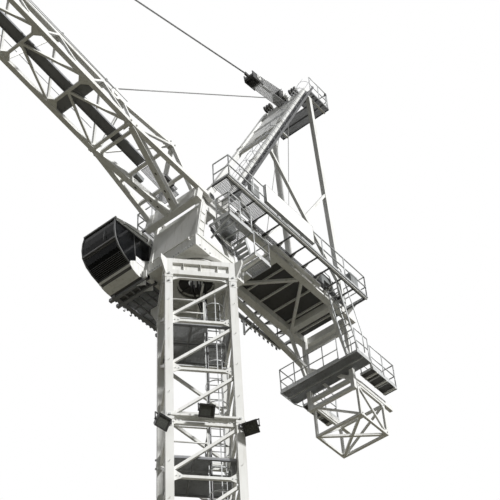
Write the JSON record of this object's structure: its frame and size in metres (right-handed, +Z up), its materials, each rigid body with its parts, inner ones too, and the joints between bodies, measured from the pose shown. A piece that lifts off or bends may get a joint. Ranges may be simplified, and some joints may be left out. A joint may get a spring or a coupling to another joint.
{
  "type": "luffing-jib tower crane",
  "caption": "White luffing-jib tower crane on a short lattice mast: slewing upper works with cab, A-frame, deck and rear frame, and a lattice jib with hook.",
  "frame": {"origin": "on the slewing axis, in the underside of the mast base", "axes": "+X along the jib at rest, +Y to its left, +Z up"},
  "size_m": [29.0072, 5.0778, 30.02],
  "materials": {
    "white_paint": "satin paint",
    "galvanised": "dull galvanised",
    "rope": "greased wire rope",
    "tinted_glass": "clear, dark tint",
    "cable_sheath": "matt",
    "lamp_housing": "matt",
    "hook_paint": "satin paint",
    "machine_grey": "satin paint",
    "bare_steel": "machined"
  },
  "bodies": {
    "mast": {"mast_base": "white_paint", "mast_left_side": "white_paint", "mast_right_side": "white_paint", "mast_rear_bracing": "white_paint", "mast_front_bracing": "white_paint", "slewing_support": "white_paint", "slewing_ring": "bare_steel", "mast_ladder": "white_paint", "mast_landings": "galvanised", "power_cable": "cable_sheath", "floodlights": "lamp_housing"},
    "upper": {"a_frame_braces": "white_paint", "a_frame_front_legs": "white_paint", "a_frame_head": "white_paint", "a_frame_rear_legs": "white_paint", "cab_body": "white_paint", "cab_glass": "tinted_glass", "cab_platform": "galvanised", "counter_jib_cross_beams": "white_paint", "counterweight_frame": "white_paint", "deck_railings": "white_paint", "head_platform": "galvanised", "head_sheaves": "machine_grey", "hoist_rope": "rope", "hoist_winch": "machine_grey", "jib_pivot_pins": "bare_steel", "left_girder": "white_paint", "luffing_block": "white_paint", "luffing_falls": "rope", "luffing_line": "rope", "luffing_winch": "machine_grey", "machinery_deck": "white_paint", "name_board": "white_paint", "rear_frame": "white_paint", "rear_ladder": "white_paint", "rear_platforms": "galvanised", "right_girder": "white_paint", "switch_cabinet": "white_paint", "turret_base": "white_paint", "turret_front_plate": "white_paint", "turret_left_cheek": "white_paint", "turret_platforms": "galvanised", "turret_right_cheek": "white_paint"},
    "jib": {"jib_foot_section": "white_paint", "jib_bottom": "white_paint", "jib_top_chord": "white_paint", "jib_left_side": "white_paint", "jib_right_side": "white_paint", "jib_head": "white_paint", "jib_head_sheave": "machine_grey", "jib_walkway": "galvanised", "jib_rope_sheave": "machine_grey", "jib_hoist_rope": "rope"},
    "hook": {"hook_block": "hook_paint", "hook_falls": "rope"}
  },
  "joints": [
    {"name": "slewing", "type": "hinge", "parent": "mast", "child": "upper", "pos_m": [0, 0, 13.05], "axis": [0, 0, 1], "continuous": true},
    {"name": "luffing", "type": "hinge", "parent": "upper", "child": "jib", "pos_m": [0.55, 0, 15.75], "axis": [0, -1, 0], "range_deg": [-2.5, 74.5], "deforming": ["luffing_line", "hoist_rope"]},
    {"name": "hook_hang", "type": "hinge", "parent": "jib", "child": "hook", "pos_m": [18.83091, 0, 19.01612], "axis": [0, -1, 0], "range_deg": [-74.5, 2.5]}
  ],
  "couplings": [
    {"joint": "hook_hang", "follows": "luffing", "ratio": -1}
  ]
}
